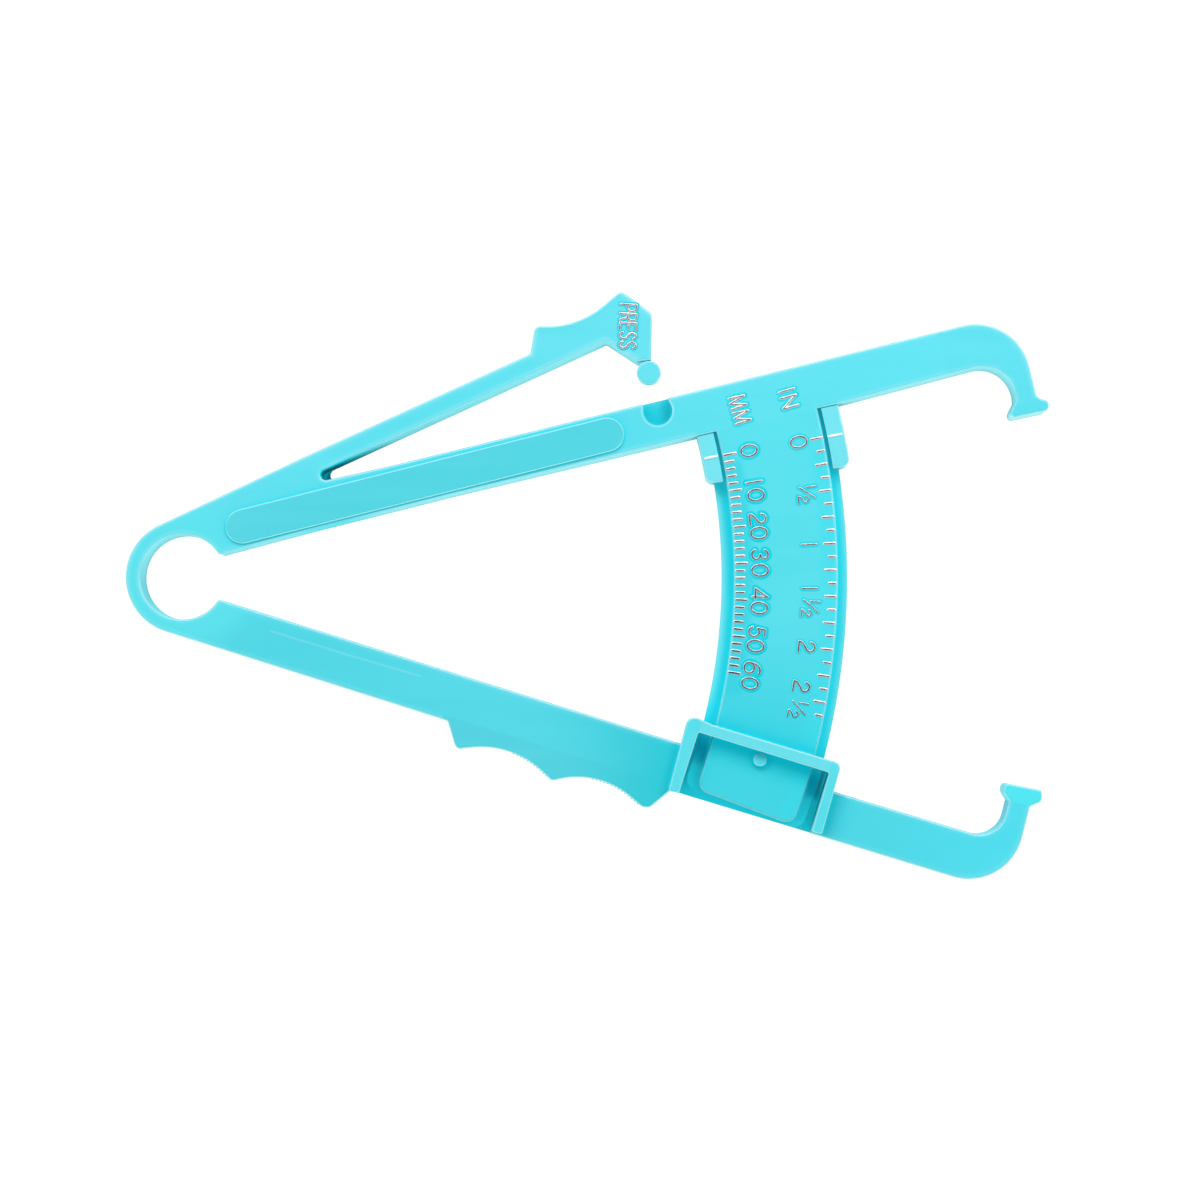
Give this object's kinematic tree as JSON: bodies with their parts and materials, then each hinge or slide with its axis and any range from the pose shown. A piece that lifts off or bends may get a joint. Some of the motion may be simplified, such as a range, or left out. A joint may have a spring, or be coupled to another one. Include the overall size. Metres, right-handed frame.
{
  "type": "skinfold caliper",
  "caption": "Flat moulded body-fat caliper: spring bow, curved millimetre and inch scale, sliding pointer, press lever with click disc and hooked jaws.",
  "frame": {"origin": "middle of the bounding box, on the plane of the back faces", "axes": "+X from the spring bow to the jaws, +Y towards the arm that carries the scale, +Z out of the marked face"},
  "size_m": [0.1682, 0.1068, 0.0103],
  "materials": {
    "body_plastic": "satin moulded",
    "bow_plastic": "satin moulded",
    "lever_plastic": "satin moulded",
    "slide_plastic": "satin moulded",
    "stamped_foil": "hot stamped foil",
    "pointer_line": "painted line"
  },
  "bodies": {
    "upper_arm": {"upper_arm": "body_plastic", "upper_bow_shoulder": "body_plastic", "upper_jaw": "body_plastic", "upper_jaw_foot": "body_plastic", "arm_pad": "body_plastic", "scale_bar": "body_plastic", "scale_plate": "body_plastic", "stop_pip": "body_plastic", "mm_ticks": "stamped_foil", "mm_numerals": "stamped_foil", "inch_ticks": "stamped_foil", "inch_numerals": "stamped_foil", "unit_marks": "stamped_foil"},
    "bow_upper": {"bow_upper_half": "bow_plastic"},
    "bow_lower": {"bow_lower_half": "bow_plastic"},
    "lower_arm": {"lower_bow_shoulder": "body_plastic", "lower_arm": "body_plastic", "finger_grip": "body_plastic", "grip_ribs": "body_plastic", "lower_arm_floor": "body_plastic", "bracket_left_leg": "body_plastic", "bracket_right_leg": "body_plastic", "bracket_crossbar": "body_plastic", "lower_jaw": "body_plastic", "lower_jaw_foot": "body_plastic"},
    "press_lever": {"press_flexure": "lever_plastic", "press_arm": "lever_plastic", "thumb_head": "lever_plastic", "click_disc": "lever_plastic", "press_lettering": "stamped_foil"},
    "slide": {"slide_back_plate": "slide_plastic", "slide_left_rail": "slide_plastic", "slide_right_rail": "slide_plastic", "slide_index_marks": "pointer_line"}
  },
  "joints": [
    {"name": "bow_upper_flex", "type": "hinge", "parent": "upper_arm", "child": "bow_upper", "pos_m": [-0.08154, 0.0055, 0.004], "axis": [0, 0, 1], "range_deg": [0, 4], "stiffness_Nm_per_rad": 6, "deforming": ["bow_upper_half"]},
    {"name": "bow_back_flex", "type": "hinge", "parent": "bow_upper", "child": "bow_lower", "pos_m": [-0.08239, 0.00165, 0.004], "axis": [0, 0, 1], "range_deg": [0, 15.48], "stiffness_Nm_per_rad": 1.6, "deforming": ["bow_lower_half"]},
    {"name": "bow_lower_flex", "type": "hinge", "parent": "bow_lower", "child": "lower_arm", "pos_m": [-0.08154, -0.0022, 0.004], "axis": [0, 0, 1], "range_deg": [0, 4], "stiffness_Nm_per_rad": 6},
    {"name": "press_lever_flex", "type": "hinge", "parent": "upper_arm", "child": "press_lever", "pos_m": [-0.04118, 0.02486, 0.004], "axis": [0, 0, -1], "range_deg": [0, 7.4], "stiffness_Nm_per_rad": 0.8, "deforming": ["press_flexure"]},
    {"name": "slide_travel", "type": "hinge", "parent": "upper_arm", "child": "slide", "pos_m": [-0.08205, 0.00165, 0.004], "axis": [0, 0, 1], "range_deg": [-23.4, 0]}
  ]
}
